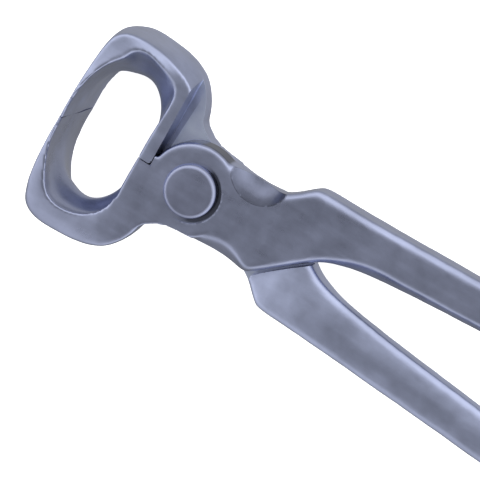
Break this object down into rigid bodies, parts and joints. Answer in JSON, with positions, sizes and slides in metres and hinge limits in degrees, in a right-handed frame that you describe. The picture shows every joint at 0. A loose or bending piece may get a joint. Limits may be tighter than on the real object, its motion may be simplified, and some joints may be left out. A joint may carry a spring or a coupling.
{
  "type": "end-cutting pincers",
  "caption": "Two-handled end-cutting pincers with a broad dished jaw loop, a lapped boss joint on a round-headed rivet, and bare steel handles.",
  "frame": {"origin": "centre of the rivet's flat tail face, on the pivot axis", "axes": "+X from the pivot to the handles, +Z along the pivot axis from the rivet's tail to its head, +Y towards the front half's handle; the cutting edges meet on the plane y = 0"},
  "size_m": [0.3515, 0.085, 0.041],
  "materials": {
    "forged_steel": "satin, linished",
    "rivet_steel": "satin, turned"
  },
  "bodies": {
    "rear": {"rear_half": "forged_steel", "pivot_rivet": "rivet_steel"},
    "front": {"front_half": "forged_steel"}
  },
  "joints": [
    {"name": "jaw_pivot", "type": "hinge", "parent": "rear", "child": "front", "pos_m": [0, 0, 0.012], "axis": [0, 0, 1], "range_deg": [0, 45]}
  ]
}
